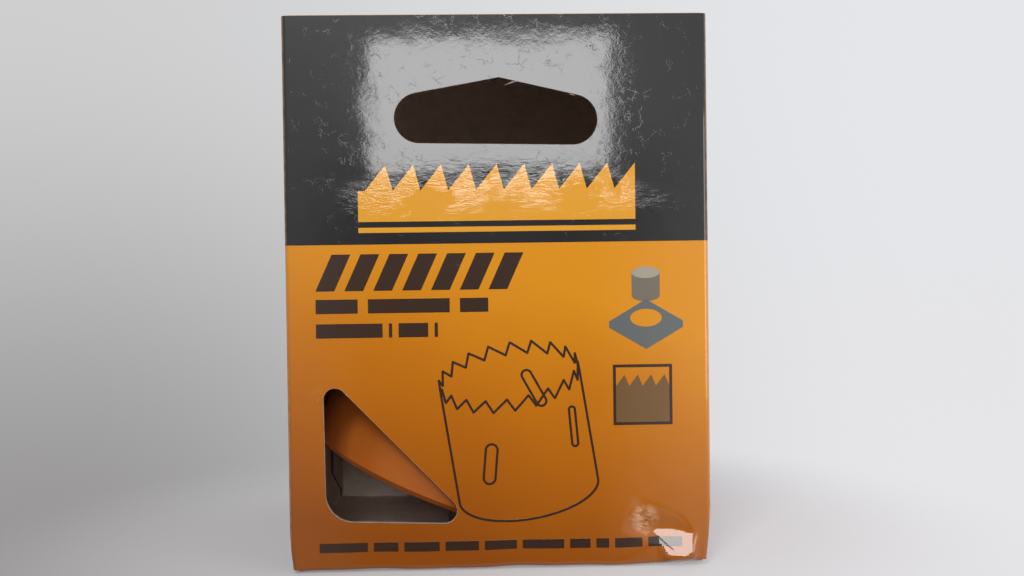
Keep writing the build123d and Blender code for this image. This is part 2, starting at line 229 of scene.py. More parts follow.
def patches(tree, place, size_mm, low, high, detail=2.0):
    """Soft patches of cloudy noise, about size_mm wide: 0 where it is below low, 1 above high."""
    cloud = add(tree, "TexNoise", {"Vector": place, "Scale": 1 / size_mm, "Detail": detail})
    return add(
        tree, "MapRange", {"Value": cloud, "From Min": low, "From Max": high},
        interpolation_type="SMOOTHSTEP",
    )


def spot(tree, place, centre, reach):
    """1 in a soft ball round a centre, both in millimetres, and 0 outside it."""
    away = add(tree, "VectorMath", {0: place, 1: centre}, "Value", operation="DISTANCE")
    return add(
        tree, "MapRange", {"Value": away, "From Min": reach, "From Max": 0.4 * reach},
        interpolation_type="SMOOTHSTEP",
    )


# ------------------------------------------------------------------ materials

def film_wrinkles(tree, place, split):
    """Normal of laminating film.

    A fine peel lies everywhere, over a slow swell of the board. Hair cracks wander through
    the film. Below the hang hole, at the crushed corner and where a thumb pressed it has
    crinkled into ridges that run mostly across the front. Where it has split it gapes.
    """
    peel = add(
        tree, "TexNoise",
        {"Vector": place, "Scale": 1 / PEEL_SIZE, "Detail": 4.0, "Roughness": 0.62,
         "Distortion": 0.5},
    )
    swell = add(tree, "TexNoise", {"Vector": place, "Scale": 1 / SWELL_SIZE, "Detail": 1.0})
    drawn_out = add(tree, "VectorMath", {0: place, 1: (0.5, 1.0, 1.5)}, operation="MULTIPLY")
    ridges = add(
        tree, "TexNoise",
        {"Vector": drawn_out, "Scale": 1 / RIDGE_SIZE, "Detail": 4.0, "Roughness": 0.6,
         "Distortion": 1.2},
    )
    # Hair cracks: the borders of cells, bent by a finer noise.
    bend = add(tree, "TexNoise", {"Vector": place, "Scale": 1 / PEEL_SIZE, "Detail": 4.0}, "Color")
    bent = add(
        tree, "VectorMath", {0: bend, 1: (2.4, 2.4, 2.4), 2: place}, operation="MULTIPLY_ADD"
    )
    border = add(
        tree, "TexVoronoi", {"Vector": bent, "Scale": 1 / CELL_SIZE}, feature="DISTANCE_TO_EDGE"
    )
    crack = add(
        tree, "MapRange", {"Value": border, "From Min": 0.035, "From Max": 0.0},
        interpolation_type="SMOOTHSTEP",
    )
    cracked = patches(tree, place, 2.6, 0.50, 0.66)
    crack = add(tree, "Math", {0: crack, 1: cracked}, operation="MULTIPLY")
    # The crinkled band lies below the hang hole. It ends short of the side folds, where it
    # gets too far from the origin.
    up = add(tree, "SeparateXYZ", {0: place}, "Z")
    from_band = add(tree, "Math", {0: up, 1: BAND_MIDDLE}, operation="SUBTRACT")
    from_band = add(tree, "Math", {0: from_band}, operation="ABSOLUTE")
    band = add(
        tree, "MapRange", {"Value": from_band, "From Min": 6.0, "From Max": 1.5},
        interpolation_type="SMOOTHSTEP",
    )
    from_middle = add(tree, "VectorMath", {0: place}, "Value", operation="LENGTH")
    inward = add(
        tree, "MapRange", {"Value": from_middle, "From Min": 71.0, "From Max": 67.5},
        interpolation_type="SMOOTHSTEP",
    )
    band = add(tree, "Math", {0: band, 1: inward}, operation="MULTIPLY")
    here = add(
        tree, "Math", {0: band, 1: patches(tree, place, 8.0, 0.38, 0.58)}, operation="MULTIPLY"
    )
    corner = spot(tree, place, CRUMPLE_PLACE, CRUMPLE_REACH)
    corner = add(tree, "Math", {0: corner, 1: 5.0}, operation="MULTIPLY")
    here = add(tree, "Math", {0: here, 1: corner}, operation="MAXIMUM")
    thumbed = spot(tree, place, THUMB_PLACE, THUMB_REACH)
    here = add(tree, "Math", {0: here, 1: thumbed}, operation="MAXIMUM")
    crinkle = add(tree, "Math", {0: ridges, 1: here}, operation="MULTIPLY")
    # Each pattern with its height in micrometres.
    height = 0.0
    relief = ((peel, 5.0), (swell, 26.0), (crinkle, 70.0), (crack, -2.2), (split, -40.0))
    for pattern, high in relief:
        height = add(tree, "Math", {0: pattern, 1: high, 2: height}, operation="MULTIPLY_ADD")
    return add(tree, "Bump", {"Height": height, "Distance": 1e-6, "Strength": 1.0})


def fold_wear(tree, place):
    """How far a fold's print has rubbed through to the board: a thin line along each fold."""
    x, y, z = add(tree, "SeparateXYZ", {0: place}, ("X", "Y", "Z"))
    from_middle = add(tree, "Math", {0: z, 1: HEIGHT / 2 / MM}, operation="SUBTRACT")
    # How far each coordinate lies outside the carton's faces: about zero at them, less inside.
    outside = []
    for value, half in ((x, HALF_WIDTH), (y, HALF_DEPTH), (from_middle, HEIGHT / 2)):
        size = add(tree, "Math", {0: value}, operation="ABSOLUTE")
        outside.append(add(tree, "Math", {0: size, 1: half / MM}, operation="SUBTRACT"))
    # A fold is where two of the three are near zero.
    sides, depths, ends = outside
    upright = add(tree, "Math", {0: sides, 1: depths}, operation="MINIMUM")
    level = add(tree, "Math", {0: depths, 1: ends}, operation="MINIMUM")
    across = add(tree, "Math", {0: sides, 1: ends}, operation="MINIMUM")
    fold = add(tree, "Math", {0: upright, 1: level}, operation="MAXIMUM")
    fold = add(tree, "Math", {0: fold, 1: across}, operation="MAXIMUM")
    on_fold = add(
        tree, "MapRange", {"Value": fold, "From Min": -0.50, "From Max": -0.12},
        interpolation_type="SMOOTHSTEP",
    )
    rubbed = patches(tree, place, 2.2, 0.34, 0.62, detail=5.0)
    rubbed = add(tree, "Math", {0: rubbed, 1: 0.55, 2: 0.22}, operation="MULTIPLY_ADD")
    return add(tree, "Math", {0: on_fold, 1: rubbed}, operation="MULTIPLY")


def film_split_and_shade(tree, place):
    """Where film and print have split in the dent: 1 along a short crease. The groove in the relief
    is real, and its dark colour is painted shade in the crease.
    """
    run = SPLIT_END - SPLIT_START
    along = run.normalized()
    beside = Vector((-along.z, 0, along.x))
    wander = add(tree, "TexNoise", {"Vector": place, "Scale": 1 / 0.6, "Detail": 2.0}, "Color")
    place = add(
        tree, "VectorMath", {0: wander, 1: (SPLIT_STRAY,) * 3, 2: place}, operation="MULTIPLY_ADD"
    )
    # The noise is a half on the whole, so half the stray comes off again.
    start = SPLIT_START + Vector((SPLIT_STRAY / 2,) * 3)
    place = add(tree, "VectorMath", {0: place, 1: start}, operation="SUBTRACT")
    far = add(tree, "VectorMath", {0: place, 1: along}, "Value", operation="DOT_PRODUCT")
    off = add(tree, "VectorMath", {0: place, 1: beside}, "Value", operation="DOT_PRODUCT")
    off = add(tree, "Math", {0: off}, operation="ABSOLUTE")
    narrow = add(
        tree, "MapRange", {"Value": off, "From Min": 0.12, "From Max": 0.02},
        interpolation_type="SMOOTHSTEP",
    )
    from_middle = add(tree, "Math", {0: far, 1: run.length / 2}, operation="SUBTRACT")
    from_middle = add(tree, "Math", {0: from_middle}, operation="ABSOLUTE")
    short = add(
        tree, "MapRange",
        {"Value": from_middle, "From Min": run.length / 2, "From Max": 0.35 * run.length},
        interpolation_type="SMOOTHSTEP",
    )
    return add(tree, "Math", {0: narrow, 1: short}, operation="MULTIPLY")


def film_over(tree, place, base, rubbed):
    """Clear gloss film pressed hot over print: a sharp reflection over a faint, wider haze.

    At the folds both have rubbed through to the rubbed tone. Where the corner was crushed the film
    has come off the print in white blisters, and that pale colour is also a painted highlight for
    the glints of the crinkled film there.
    """
    worn = fold_wear(tree, place)
    base = add(tree, "Mix", {0: worn, 6: base, 7: colour(rubbed)}, 2, data_type="RGBA")
    # Pale blisters where the film lifted at the crushed corner. Their pale colour also paints the
    # glints of the crinkled film: a painted highlight.
    blisters_and_glints = spot(tree, place, CRUMPLE_PLACE, CRUMPLE_REACH)
    blisters = patches(tree, place, 1.3, 0.38, 0.62, detail=4.0)
    blisters_and_glints = add(tree, "Math", {0: blisters_and_glints, 1: blisters}, operation="MULTIPLY")
    blisters_and_glints = add(tree, "Math", {0: blisters_and_glints, 1: 0.38}, operation="MULTIPLY")
    base = add(tree, "Mix", {0: blisters_and_glints, 6: base, 7: colour("#efd3b0")}, 2, data_type="RGBA")
    split = film_split_and_shade(tree, place)
    # Painted shade: the split's crease is painted dark brown.
    base = add(tree, "Mix", {0: split, 6: base, 7: colour("#4a3428")}, 2, data_type="RGBA")
    normal = film_wrinkles(tree, place, split)
    shader = add(
        tree, "BsdfPrincipled",
        {"Base Color": base, "Roughness": 0.34, "IOR": 1.5, "Specular IOR Level": 0.12,
         "Coat Weight": 1.0, "Coat Roughness": 0.05, "Coat IOR": 1.5,
         "Normal": normal, "Coat Normal": normal},
    )
    add(tree, "OutputMaterial", {"Surface": shader}, ())


def board_print_and_shade():
    """Offset ink all over the board, which deepens from amber above to burnt orange below, partly
    as printed and partly as painted shade, and is painted lighter to the right.
    """
    material, tree, place = new_material("orange_print_under_film")
    x, z = add(tree, "SeparateXYZ", {0: place}, ("X", "Z"))
    # Painted light: the share to the right lightens the print where more light falls, and part of
    # the darkening downwards is painted shade.
    level = add(tree, "Math", {0: x, 1: PAINTED_LIGHT_SHARE_RIGHT, 2: z}, operation="MULTIPLY_ADD")
    cloud = add(tree, "TexNoise", {"Vector": place, "Scale": 1 / 18.0, "Detail": 2.0})
    level = add(tree, "Math", {0: cloud, 1: TONE_CLOUD, 2: level}, operation="MULTIPLY_ADD")
    # The cloud is a half on the whole, so half of its shift comes off again.
    level = add(tree, "Math", {0: level, 1: TONE_CLOUD / 2}, operation="SUBTRACT")
    base = colour(PRINT_AND_SHADE_TONES[0][1])
    for (low, _), (high, tone) in zip(PRINT_AND_SHADE_TONES, PRINT_AND_SHADE_TONES[1:]):
        share = add(tree, "MapRange", {"Value": level, "From Min": low, "From Max": high})
        base = add(tree, "Mix", {0: share, 6: base, 7: colour(tone)}, 2, data_type="RGBA")
    film_over(tree, place, base, "#d3a476")
    return material


def laminated_print(name, ink, thin="#d9a060"):
    """A field of offset ink under clear gloss film, faintly uneven where the ink lies thin."""
    material, tree, place = new_material(name)
    cloud = add(tree, "TexNoise", {"Vector": place, "Scale": 1 / 16.0, "Detail": 2.0})
    shade = add(tree, "Math", {0: cloud, 1: 0.06}, operation="MULTIPLY")
    base = add(tree, "Mix", {0: shade, 6: colour(ink), 7: colour(thin)}, 2, data_type="RGBA")
    film_over(tree, place, base, "#b5834f")
    return material


def bare_board(name, face, mottled, fibres):
    """Uncoated board: matt and mottled, with short pale fibres lying along the grain."""
    material, tree, place = new_material(name)
    mottle = patches(tree, place, 1.8, 0.35, 0.70, detail=5.0)
    base = add(
        tree, "Mix", {0: mottle, 6: colour(face), 7: colour(mottled)}, 2, data_type="RGBA"
    )
    # Fibres about 0.35 mm thick and four times as long, drawn coarser than real ones.
    grain = add(tree, "VectorMath", {0: place, 1: (0.5, 2.2, 2.2)}, operation="MULTIPLY")
    fibre = add(tree, "TexNoise", {"Vector": grain, "Scale": 1 / 0.35, "Detail": 4.0})
    raised = add(tree, "MapRange", {"Value": fibre, "From Min": 0.60, "From Max": 0.74})
    base = add(tree, "Mix", {0: raised, 6: base, 7: colour(fibres)}, 2, data_type="RGBA")
    normal = add(tree, "Bump", {"Height": fibre, "Distance": 0.03 * MM, "Strength": 0.8})
    shader = add(
        tree, "BsdfPrincipled",
        {"Base Color": base, "Roughness": 0.9, "IOR": 1.45, "Normal": normal},
    )
    add(tree, "OutputMaterial", {"Surface": shader}, ())
    return material


def saw_enamel():
    """Stoving enamel sprayed on a steel saw: satin orange, ground bare at the tooth tips.

    Its relief is a faint orange peel, and the thread cut in the arbor's bore.
    """
    material, tree, place = new_material("orange_enamel_on_steel")
    cloud = add(tree, "TexNoise", {"Vector": place, "Scale": 1 / 9.0, "Detail": 3.0})
    base = add(
        tree, "Mix", {0: cloud, 6: colour("#b5631b"), 7: colour("#9c4c14")}, 2, data_type="RGBA"
    )
    # Place along the saw's axis and distance from it.
    away = add(tree, "VectorMath", {0: place, 1: SAW_FOOT}, operation="SUBTRACT")
    along = add(tree, "VectorMath", {0: away, 1: SAW_AXIS}, "Value", operation="DOT_PRODUCT")
    on_axis = add(tree, "VectorMath", {0: SAW_AXIS, "Scale": along}, operation="SCALE")
    radius = add(tree, "VectorMath", {0: away, 1: on_axis}, "Value", operation="DISTANCE")
    # The teeth are ground after painting, and the edge of the paint is uneven.
    edge = add(tree, "TexNoise", {"Vector": place, "Scale": 1 / 0.8, "Detail": 3.0})
    edge = add(tree, "Math", {0: edge, 1: 1.6, 2: along}, operation="MULTIPLY_ADD")
    ground = add(
        tree, "MapRange",
        {"Value": edge, "From Min": SAW_HEIGHT - 0.9, "From Max": SAW_HEIGHT - 0.5},
    )
    base = add(tree, "Mix", {0: ground, 6: base, 7: colour("#b4b0aa")}, 2, data_type="RGBA")
    rough = add(tree, "MapRange", {"Value": ground, "To Min": 0.44, "To Max": 0.28})
    turn = add(tree, "Math", {0: along, 1: 2 * pi / THREAD_PITCH}, operation="MULTIPLY")
    turn = add(tree, "Math", {0: turn}, operation="SINE")
    in_bore = add(tree, "Math", {0: radius, 1: BORE_RADIUS + 0.1}, operation="LESS_THAN")
    thread = add(tree, "Math", {0: turn, 1: in_bore}, operation="MULTIPLY")
    peel = add(tree, "TexNoise", {"Vector": place, "Scale": 1 / 0.7, "Detail": 2.0})
    # Each pattern with its height in micrometres.
    height = 0.0
    for pattern, high in ((peel, 14.0), (thread, 250.0)):
        height = add(tree, "Math", {0: pattern, 1: high, 2: height}, operation="MULTIPLY_ADD")
    normal = add(tree, "Bump", {"Height": height, "Distance": 1e-6, "Strength": 1.0})
    shader = add(
        tree, "BsdfPrincipled",
        {"Base Color": base, "Metallic": ground, "Roughness": rough, "Specular IOR Level": 0.3,
         "Normal": normal},
    )
    add(tree, "OutputMaterial", {"Surface": shader}, ())
    return material


PRINT_ORANGE_AND_SHADE = board_print_and_shade()
BARE_INSIDE = bare_board("board_back", "#eeded0", "#e3d2c4", "#f3e8dc")
BARE_EDGE = bare_board("cut_board_edge", "#a89c8f", "#8f8478", "#c4baae")
BOARD_SIDES = (PRINT_ORANGE_AND_SHADE, BARE_INSIDE, BARE_EDGE)
ENAMEL = saw_enamel()

PRINTS = {
    "print_header": laminated_print("black_print_under_film", "#191719", "#6a6660"),
    "print_motif": laminated_print("light_orange_print_under_film", "#dd9a26"),
    "print_title": laminated_print("brown_black_print_under_film", "#33231b", "#8a5a30"),
    "print_slab": laminated_print("slate_print_under_film", "#5b6468"),
    "print_plug_side": laminated_print("grey_print_under_film", "#6f6a60"),
    "print_plug_top": laminated_print("pale_grey_print_under_film", "#a09a8c"),
    "print_teeth": laminated_print("umber_print_under_film", "#6d5233"),
}
for name in ("print_text", "print_saw_drawing", "print_frame"):
    PRINTS[name] = PRINTS["print_title"]


# ------------------------------------------------------------------ carton

def merged_copy(node):
    """A bmesh of a CAD node with its loose triangles joined at their corners."""
    mesh = bmesh.new()
    mesh.from_mesh(frame["nodes"][node].data)
    bmesh.ops.remove_doubles(mesh, verts=mesh.verts, dist=1e-7)
    return mesh


def divide(mesh, axis, places, keep):
    """Cuts the faces that keep() names along planes across one axis, without gaps."""
    normal = Vector((axis == 0, axis == 1, axis == 2))
    for place in places:
        faces = [f for f in mesh.faces if keep(f.calc_center_median())]
        edges = {e for f in faces for e in f.edges}
        verts = {v for f in faces for v in f.verts}
        bmesh.ops.bisect_plane(
            mesh, geom=[*verts, *edges, *faces], dist=1e-8, plane_co=normal * place, plane_no=normal
        )


def mark_sides(mesh):
    """Gives each face its finish: 0 printed outside, 1 bare inside, 2 cut edge.

    A face lies on a broad side where a ray straight into the board leaves it again after
    about one or two thicknesses. Of the broad sides, the one that faces away from the
    carton's middle is printed.
    """
    tree = BVHTree.FromBMesh(mesh)
    middle = Vector((0, 0, HEIGHT / 2))
    for face in mesh.faces:
        centre = face.calc_center_median()
        _, _, _, through = tree.ray_cast(centre - face.normal * SAME, -face.normal)
        through = 1.0 if through is None else through
        broad = through < 1.15 * BOARD or abs(through - 2 * BOARD) < 0.15 * BOARD
        looks_out = face.normal.dot(centre - middle) > 0
        face.material_index = 2 if not broad else (0 if looks_out else 1)


def smooth_rise(value, low, high):
    """0 below low, 1 above high, smooth between."""
    share = np.clip((value - low) / (high - low), 0, 1)
    return share * share * (3 - 2 * share)


def soft_lower(first, second, blend):
    """The lower of two heights, rounded over where they meet."""
    share = np.clip(0.5 + 0.5 * (second - first) / blend, 0, 1)
    return second + (first - second) * share - blend * share * (1 - share)


def plane_depth(plane, x, z):
    """Depth of a plane of the dent: its own depth plus its slopes times the distances."""
    place_x, place_z, depth, right, up = plane
    return depth * MM + right * (x - place_x * MM) + up * (z - place_z * MM)


def dent(x, z):
    """Depth of the crushed corner behind the flat front.

    The sides are the lowest of their planes and end softly at the flat front. The facet's low
    end stands a little out of the front. The dent is the lower of sides and facet.
    """
    sides = np.full_like(x, DENT_DEEPEST)
    for plane in DENT_SIDES.values():
        sides = soft_lower(sides, plane_depth(plane, x, z), DENT_BLEND)
    sides = -soft_lower(-sides, np.zeros_like(x), 0.7 * DENT_BLEND)
    bulge = DENT_BULGE * smooth_rise(x, *DENT_LEFT)
    facet = np.maximum(plane_depth(DENT_FACET, x, z), -bulge)
    return soft_lower(facet, sides, 0.5 * DENT_BLEND)


def handled(points):
    """Moves points as handling has bent the board.

    The front goes in by the depth of the dent. Its low right corner goes left and up by a
    share that falls with the distance from the corner. The low fold rises by a constant and
    two sine waves along X. The front bows in by half a sine each way. Near the foot the left
    fold tapers in. All of it fades out behind the front.
    """
    x, y, z = points.T.copy()
    front = 1 - smooth_rise(y, *FRONT_BEND)
    low = 1 - smooth_rise(z, *LOW_BEND)
    inside = 1 - smooth_rise(x, *DENT_RIGHT)
    y = y + front * inside * dent(x, z) * smooth_rise(z, *DENT_FOOT)
    # The corner, pressed in.
    close = np.clip(1 - np.hypot(x - HALF_WIDTH, z) / CORNER_REACH, 0, 1)
    x = x - front * smooth_rise(x, *CORNER_EDGE) * CORNER_PUSH * close**1.3
    # Waves of the low fold, which rises more at the corner, but for the corner's own tip.
    wave = sum(high * np.sin(x / run + phase) for high, run, phase in FOLD_WAVES)
    rise = CORNER_RISE * smooth_rise(close, 0.2, 1.0) + low**3 * (wave + FOLD_RISE)
    at_fold = 1 - smooth_rise(y, *FOLD_BEND)
    z = z + at_fold * rise * (1 - 0.8 * smooth_rise(x, *CORNER_TIP))
    # A slight bow of the whole front.
    bow = BOW * np.cos(pi * x / (2 * HALF_WIDTH)) * np.sin(pi * np.clip(z / HEIGHT, 0, 1))
    y = y + front * bow
    # The left fold's taper.
    left = smooth_rise(-x, *LEFT_EDGE)
    x = x + front * left * LEFT_PUSH * (1 - smooth_rise(z, *LEFT_FOOT))
    return np.column_stack((x, y, z))


def to_object(name, data, materials, angle=30):
    """Makes a mesh an object at the origin, smooth but for edges sharper than the angle.

    Its normals are weighted by the faces' areas, so that large flat faces stay flat.
    """
    for material in materials:
        data.materials.append(material)
    data.shade_smooth()
    data.set_sharp_from_angle(angle=radians(angle))
    made = bpy.data.objects.new(name, data)
    bpy.context.scene.collection.objects.link(made)
    weighted = made.modifiers.new("flat_stays_flat", "WEIGHTED_NORMAL")
    weighted.keep_sharp = True
    return made


def handled_object(name, mesh, materials, angle=30):
    """The bmesh as an object, with every corner run through handled()."""
    data = bpy.data.meshes.new(name)
    mesh.to_mesh(data)
    mesh.free()
    places = np.empty(3 * len(data.vertices))
    data.vertices.foreach_get("co", places)
    data.vertices.foreach_set("co", handled(places.reshape(-1, 3)).ravel())
    data.update()
    return to_object(name, data, materials, angle)


def steps(low, high, size):
    """Evenly spaced places from low to high, about size apart."""
    return np.linspace(low, high, max(2, round((high - low) / size) + 1))


def anywhere(centre):
    """Every face."""
    return True


def near_front(centre):
    """A face where handling has bent the board."""
    return centre.y < FRONT + 14 * BOARD


def near_dent(centre):
    """A face in the front panel round the crushed corner."""
    return centre.y < FRONT + 3 * BOARD and centre.x > 16 * MM and centre.z < 14 * MM


def divide_board(mesh):
    """Cuts the board so that it can bend.

    A few planes cut it just behind the front, a coarse grid lies over the front, and a fine
    one round the crushed corner.
    """
    divide(mesh, 1, steps(FRONT + 2 * MM, FRONT + 7 * MM, DEPTH_GRID), anywhere)
    divide(mesh, 0, steps(-HALF_WIDTH, HALF_WIDTH, COARSE_GRID)[1:-1], near_front)
    divide(mesh, 2, steps(0, HEIGHT, COARSE_GRID)[1:-1], near_front)
    divide(mesh, 0, steps(18 * MM, HALF_WIDTH, FINE_GRID)[:-1], near_dent)
    divide(mesh, 2, steps(0.3 * MM, 12.5 * MM, FINE_GRID), near_dent)


def without_half_crease(mesh, end):
    """Takes off the half crease at one end: 1 is the top, where the lid hangs at the back.

    The crease's section lies in the square between the last straight line of each panel and
    the outer corner, so what has its middle there goes, and the two cut ends are closed.
    """
    far_y = end * (HALF_DEPTH - FOLD)
    far_z = HEIGHT / 2 + end * (HEIGHT / 2 - FOLD)

    def in_crease(centre):
        past_y = end * (centre.y - far_y) > SAME
        past_z = end * (centre.z - far_z) > SAME
        return past_y and past_z and abs(centre.x) < LID_HALF + SAME

    gone = [f for f in mesh.faces if in_crease(f.calc_center_median())]
    bmesh.ops.delete(mesh, geom=gone, context="FACES")
    edges = [e for e in mesh.edges if e.is_boundary]
    bmesh.ops.holes_fill(mesh, edges=edges)


def folded_board(name, node, body, ends):
    """One piece of the carton's board, bent by handling, without its halves of the creases."""
    mesh = merged_copy(node)
    for end in ends:
        without_half_crease(mesh, end)
    mark_sides(mesh)
    divide_board(mesh)
    made = handled_object(name, mesh, BOARD_SIDES)
    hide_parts(node)
    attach(made, body)


def tube_faces(index):
    """Faces of a closed tube, from the numbers of its points with a row to each ring.

    Four points that lie next to each other make a face, and the end rings are its two caps.
    """
    after = np.roll(index, -1, axis=1)
    quads = np.stack((index[:-1], after[:-1], after[1:], index[1:]), axis=-1).reshape(-1, 4)
    return [*quads.tolist(), index[0][::-1].tolist(), index[-1].tolist()]


def crease(name, end):
    """The strip of board that bends as a lid turns.

    Its section is a quarter ring between the fold's inner and outer radius, about the fold's
    centre. In Y and Z each point is centre + radius * (cosine, sine) of an angle that runs
    from the panel to the lid, and the section is carried along X from end to end of the lid.

    With the lid at 180 degrees the blend has turned the strip inside out.
    """
    turns = 14
    angle = np.linspace(0, pi / 2, turns + 1)
    across = steps(-LID_HALF, LID_HALF, 0.6 * MM)
    centre_y = end * (HALF_DEPTH - FOLD)
    centre_z = HEIGHT / 2 + end * (HEIGHT / 2 - FOLD)
    # Once round the section: out along the outer arc, back along the inner one.
    radius = np.concatenate((np.full(turns + 1, FOLD), np.full(turns + 1, CREASE)))
    around = np.concatenate((angle, angle[::-1]))
    count = len(around)
    points = np.empty((len(across), count, 3))
    points[..., 0] = across[:, None]
    points[..., 1] = centre_y + end * radius * np.cos(around)
    points[..., 2] = centre_z + end * radius * np.sin(around)
    index = np.arange(len(across) * count).reshape(len(across), count)
    data = bpy.data.meshes.new(name)
    data.from_pydata(handled(points.reshape(-1, 3)), [], tube_faces(index))
    # Once round as well: printed, cut, bare and cut again. Both caps are cut.
    side = np.tile([0] * turns + [2] + [1] * turns + [2], len(across) - 1)
    data.polygons.foreach_set("material_index", np.append(side, [2, 2]).astype(np.int32))
    outward(data)
    made = to_object(name, data, BOARD_SIDES)
    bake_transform(made)


def outward(data):
    """Turns a closed mesh's faces outwards."""
    mesh = bmesh.new()
    mesh.from_mesh(data)
    bmesh.ops.recalc_face_normals(mesh, faces=mesh.faces)
    mesh.to_mesh(data)
    mesh.free()


def print_field(node):
    """A field of print, draped over the handled front.

    Its grid leaves slivers where a cut passes a corner. They go, and the edges stay sharp, or
    those that are left would glint.
    """
    mesh = merged_copy(node)
    divide_board(mesh)
    bmesh.ops.dissolve_degenerate(mesh, dist=0.005 * MM, edges=mesh.edges)
    made = handled_object(node.replace("print", "ink"), mesh, (PRINTS[node],), angle=2)
    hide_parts(node)
    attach(made, "carton")


def opening_edges():
    """Ends of the outer edges of the front's two openings, and the way out of the opening.

    They are the sleeve's edges that lie in the front face and border a cut edge. The result
    is the two ends' places in X and Z, and the unit vector from the opening to the board.
    """
    mesh = merged_copy("carton_sleeve")
    starts, ends, ways = [], [], []
    for edge in mesh.edges:
        walls = [f for f in edge.link_faces if abs(f.normal.y) < 0.5]
        faces = [f for f in edge.link_faces if f.normal.y < -0.99]
        level = all(abs(v.co.y - FRONT) < SAME for v in edge.verts)
        inside = all(abs(v.co.x) < WELL_INSIDE for v in edge.verts)
        if level and inside and len(walls) == 1 and len(faces) == 1:
            starts.append(edge.verts[0].co.xz)
            ends.append(edge.verts[1].co.xz)
            ways.append(-walls[0].normal.xz)
    mesh.free()
    return np.array(starts), np.array(ends), np.array(ways)


def cut_lip_and_highlight():
    """The pale lip that the cutting die has left round both openings.

    Its section is a flat triangle: a foot on the print, a crest over the cut and a root in the cut.
    The foot lies outwards from the edge by a width that is largest along the low sides and almost
    nothing along the high ones, and that wavers a little along the edge. That it shows mostly along
    the low sides is a painted highlight: pale board where light from above falls on the up-facing
    cut edges.
    """
    starts, ends, ways = opening_edges()
    rounded = np.round(np.vstack((starts, ends)) / 1e-7).astype(np.int64)
    _, first, index = np.unique(rounded, axis=0, return_index=True, return_inverse=True)
    index = index.reshape(-1)
    places = np.vstack((starts, ends))[first]
    way = np.zeros_like(places)
    np.add.at(way, index, np.vstack((ways, ways)))
    way = way / np.linalg.norm(way, axis=1, keepdims=True)
    x, z = places.T
    waver = 1 + LIP_WAVER * np.sin(x / (0.9 * MM)) * np.sin(z / (0.7 * MM) + 1)
    # Wide on the low sides and narrow on the high ones: a painted highlight where light from above
    # falls on the cut edges.
    width = LIP_WIDTH * np.clip(0.55 - 0.6 * way[:, 1], 0.15, 1) * waver
    foot, crest, root = (
        np.column_stack((x + way[:, 0] * off, np.full_like(x, FRONT + deep), z + way[:, 1] * off))
        for off, deep in (
            (width, -INK - 0.005 * MM), (-0.02 * MM, -INK - 0.015 * MM), (-0.01 * MM, 0.2 * MM)
        )
    )
    count = len(places)
    a = index[:len(starts)]
    b = index[len(starts):]
    faces = [
        np.column_stack((a + i * count, b + i * count, b + j * count, a + j * count))
        for i, j in ((0, 1), (1, 2), (2, 0))
    ]
    data = bpy.data.meshes.new("cut_lips_and_highlight")
    points = handled(np.vstack((foot, crest, root)))
    data.from_pydata(points, [], np.vstack(faces).tolist())
    outward(data)
    made = to_object("cut_lips_and_highlight", data, (BARE_EDGE,), angle=80)
    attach(made, "carton")


def torn_fibres():
    """Fibres of board that stand in the cut edges.

    Each is a thread from one end to the other that bulges out of the front by half a sine, a
    twelfth of its length high. Its radius goes with the root of that sine, so it thins to a
    point at both ends, and it is half as thick across the board.
    """
    along = np.linspace(0, 1, 9)
    around = np.linspace(0, 2 * pi, 6, endpoint=False)
    points = []
    faces = []
    for (x0, z0), (x1, z1) in FIBRES:
        start = np.array((x0 * MM, FRONT + 0.02 * MM, z0 * MM))
        stop = np.array((x1 * MM, FRONT + 0.02 * MM, z1 * MM))
        length = np.linalg.norm(stop - start)
        line = start + (stop - start) * along[:, None]
        line[:, 1] -= length / 12 * np.sin(pi * along)
        side = np.cross((stop - start) / length, (0, 1, 0))
        thinning = np.sqrt(np.sin(pi * np.clip(along, 0.004, 0.996)))
        radius = FIBRE_RADIUS * thinning[:, None, None]
        ring = np.cos(around)[:, None] * side + np.sin(around)[:, None] * np.array((0, 0.5, 0))
        grid = line[:, None, :] + radius * ring
        count = len(along) * len(around)
        index = len(points) * count + np.arange(count).reshape(len(along), len(around))
        points.append(grid.reshape(-1, 3))
        faces += tube_faces(index)
    data = bpy.data.meshes.new("torn_fibres")
    data.from_pydata(handled(np.vstack(points)), [], faces)
    outward(data)
    made = to_object("torn_fibres", data, (BARE_EDGE,), angle=80)
    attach(made, "carton")


folded_board("sleeve_board", "carton_sleeve", "carton", ends=(1, -1))
for node, end in (("top_lid", 1), ("bottom_lid", -1)):
    folded_board(node + "_board", node, node, ends=(end,))
    crease(node + "_crease", end)
for node in PRINTS:
    print_field(node)
cut_lip_and_highlight()
torn_fibres()


# ------------------------------------------------------------------ finish the CAD nodes

for node in ("saw_cup", "saw_cap"):
    data = frame["nodes"][node].data
    data.materials.clear()
    data.materials.append(ENAMEL)


# ------------------------------------------------------------------ stage

